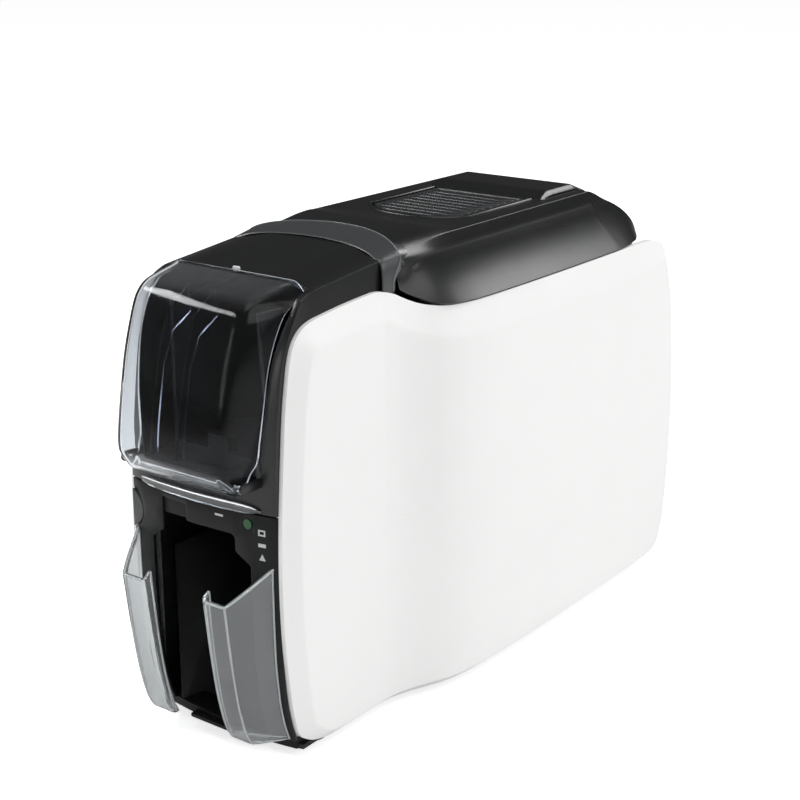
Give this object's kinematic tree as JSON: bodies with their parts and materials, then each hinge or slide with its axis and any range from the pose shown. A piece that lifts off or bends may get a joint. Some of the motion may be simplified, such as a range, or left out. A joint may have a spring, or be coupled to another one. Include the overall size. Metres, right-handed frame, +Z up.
{
  "type": "id card printer",
  "caption": "Slim desktop card printer: waved white side panels, black core, clear card feeder door and output guards, hinged top cover over the ribbon and print head.",
  "frame": {"origin": "centre of the bounding box's bottom, on the table under the printer", "axes": "+Y from the card door to the rear panel, +X to the viewer's right when facing the door, +Z up"},
  "size_m": [0.1514, 0.3895, 0.256],
  "materials": {
    "white_panel": "satin",
    "gloss_black": "gloss",
    "matte_black": "fine matte",
    "grey_trim": "satin",
    "clear_plastic": "clear polished",
    "light_bar": "translucent",
    "status_green": "translucent",
    "circuit_board": "lacquered",
    "steel": "zinc plated",
    "rubber": "matt",
    "ribbon_film": "film",
    "head_ceramic": "ceramic",
    "aluminium": "extruded",
    "gear_plastic": "moulded",
    "brass": "turned"
  },
  "bodies": {
    "chassis": {"right_side_panel": "white_panel", "left_side_panel": "white_panel", "base_tray": "matte_black", "rubber_feet": "rubber", "lower_bezel": "gloss_black", "light_bar": "light_bar", "status_lens": "status_green", "button_board": "circuit_board", "feeder_housing": "gloss_black", "right_output_guard": "clear_plastic", "left_output_guard": "clear_plastic", "output_bin": "matte_black", "right_frame": "steel", "left_frame": "steel", "frame_rods": "steel", "card_hopper": "matte_black", "exit_chute": "matte_black", "path_guide": "steel", "stepper_motor": "steel", "inner_deck": "matte_black", "cover_hinge_pins": "steel", "ribbon_cartridge": "grey_trim", "ribbon_film": "ribbon_film", "drive_belt": "rubber", "main_board": "circuit_board", "rear_panel": "matte_black", "power_inlet": "matte_black", "usb_socket": "steel", "network_socket": "steel", "fan_frame": "matte_black", "case_screws": "steel"},
    "top_cover": {"cover_shell": "gloss_black", "cover_collar": "grey_trim", "cover_cap": "gloss_black", "cover_frame": "matte_black", "head_springs": "steel", "button_springs": "steel"},
    "head_carrier": {"print_head": "head_ceramic", "head_heat_sink": "aluminium"},
    "release_button_body": {"release_button": "matte_black"},
    "latch_hook_body": {"latch_hook": "matte_black"},
    "feeder_door_body": {"feeder_door": "clear_plastic"},
    "card_weight_body": {"card_weight": "grey_trim"},
    "power_button_body": {"power_button": "grey_trim"},
    "pick_roller_body": {"pick_roller": "rubber", "pick_shaft": "steel"},
    "cleaning_roller_body": {"cleaning_roller": "rubber"},
    "platen_roller_body": {"platen_roller": "rubber", "platen_shaft": "steel"},
    "drive_gear_body": {"drive_gear": "gear_plastic"},
    "motor_pinion_body": {"motor_pinion": "brass"},
    "supply_spool_body": {"supply_spool": "ribbon_film"},
    "takeup_spool_body": {"takeup_spool": "ribbon_film"},
    "tilt_deck_body": {"tilt_deck": "grey_trim"},
    "deck_front_roller_body": {"deck_front_roller": "rubber"},
    "deck_rear_roller_body": {"deck_rear_roller": "rubber"},
    "exit_roller_body": {"exit_roller": "rubber"},
    "fan_rotor_body": {"fan_rotor": "matte_black"}
  },
  "joints": [
    {"name": "cover_hinge", "type": "hinge", "parent": "chassis", "child": "top_cover", "pos_m": [0, 0.1581, 0.2155], "axis": [-1, 0, 0], "range_deg": [0, 70]},
    {"name": "print_head_lift", "type": "slide", "parent": "top_cover", "child": "head_carrier", "axis": [0, 0, 1], "range_m": [0, 0.002], "stiffness_N_per_m": 2500, "springref_m": -0.002, "deforming": ["head_springs"]},
    {"name": "release_button_press", "type": "slide", "parent": "top_cover", "child": "release_button_body", "axis": [0, 0, -1], "range_m": [0, 0.0025], "stiffness_N_per_m": 600, "springref_m": -0.002, "deforming": ["button_springs"]},
    {"name": "latch_hook_turn", "type": "hinge", "parent": "top_cover", "child": "latch_hook_body", "pos_m": [0, 0.0516, 0.2225], "axis": [1, 0, 0], "range_deg": [0, 12.1]},
    {"name": "feeder_door_hinge", "type": "hinge", "parent": "chassis", "child": "feeder_door_body", "pos_m": [0, -0.1829, 0.1535], "axis": [1, 0, 0], "range_deg": [0, 80]},
    {"name": "card_weight_lift", "type": "slide", "parent": "chassis", "child": "card_weight_body", "axis": [0, 0, 1], "range_m": [0, 0.066]},
    {"name": "power_button_press", "type": "slide", "parent": "chassis", "child": "power_button_body", "axis": [0, 1, 0], "range_m": [0, 0.0015], "stiffness_N_per_m": 800, "springref_m": -0.001},
    {"name": "pick_roller_spin", "type": "hinge", "parent": "chassis", "child": "pick_roller_body", "pos_m": [0, -0.1249, 0.1371], "axis": [1, 0, 0], "continuous": true},
    {"name": "cleaning_roller_spin", "type": "hinge", "parent": "chassis", "child": "cleaning_roller_body", "pos_m": [0, -0.0669, 0.1546], "axis": [1, 0, 0], "continuous": true},
    {"name": "drive_gear_spin", "type": "hinge", "parent": "chassis", "child": "drive_gear_body", "pos_m": [0, 0.0111, 0.06], "axis": [1, 0, 0], "continuous": true},
    {"name": "motor_pinion_spin", "type": "hinge", "parent": "chassis", "child": "motor_pinion_body", "pos_m": [0, 0.0411, 0.06], "axis": [1, 0, 0], "continuous": true},
    {"name": "platen_roller_spin", "type": "hinge", "parent": "chassis", "child": "platen_roller_body", "pos_m": [0, -0.0179, 0.1396], "axis": [1, 0, 0], "continuous": true},
    {"name": "supply_spool_spin", "type": "hinge", "parent": "chassis", "child": "supply_spool_body", "pos_m": [0, -0.0609, 0.182], "axis": [1, 0, 0], "continuous": true},
    {"name": "takeup_spool_spin", "type": "hinge", "parent": "chassis", "child": "takeup_spool_body", "pos_m": [0, 0.0101, 0.182], "axis": [1, 0, 0], "continuous": true},
    {"name": "tilt_deck_hinge", "type": "hinge", "parent": "chassis", "child": "tilt_deck_body", "pos_m": [0, 0.0951, 0.143], "axis": [1, 0, 0], "range_deg": [0, 9.4]},
    {"name": "deck_front_roller_spin", "type": "hinge", "parent": "tilt_deck_body", "child": "deck_front_roller_body", "pos_m": [0, 0.0081, 0.1416], "axis": [1, 0, 0], "continuous": true},
    {"name": "deck_rear_roller_spin", "type": "hinge", "parent": "tilt_deck_body", "child": "deck_rear_roller_body", "pos_m": [0, 0.0741, 0.1416], "axis": [1, 0, 0], "continuous": true},
    {"name": "exit_roller_spin", "type": "hinge", "parent": "chassis", "child": "exit_roller_body", "pos_m": [0, -0.0919, 0.10913], "axis": [1, 0, 0], "continuous": true},
    {"name": "fan_spin", "type": "hinge", "parent": "chassis", "child": "fan_rotor_body", "pos_m": [-0.03, 0.18, 0.12], "axis": [0, 1, 0], "continuous": true}
  ],
  "couplings": [
    {"joint": "latch_hook_turn", "follows": "release_button_press", "rad_per_m": 83.7},
    {"joint": "motor_pinion_spin", "follows": "drive_gear_spin", "ratio": -4},
    {"joint": "platen_roller_spin", "follows": "drive_gear_spin", "ratio": 0.8},
    {"joint": "takeup_spool_spin", "follows": "supply_spool_spin", "ratio": 1.3182}
  ]
}
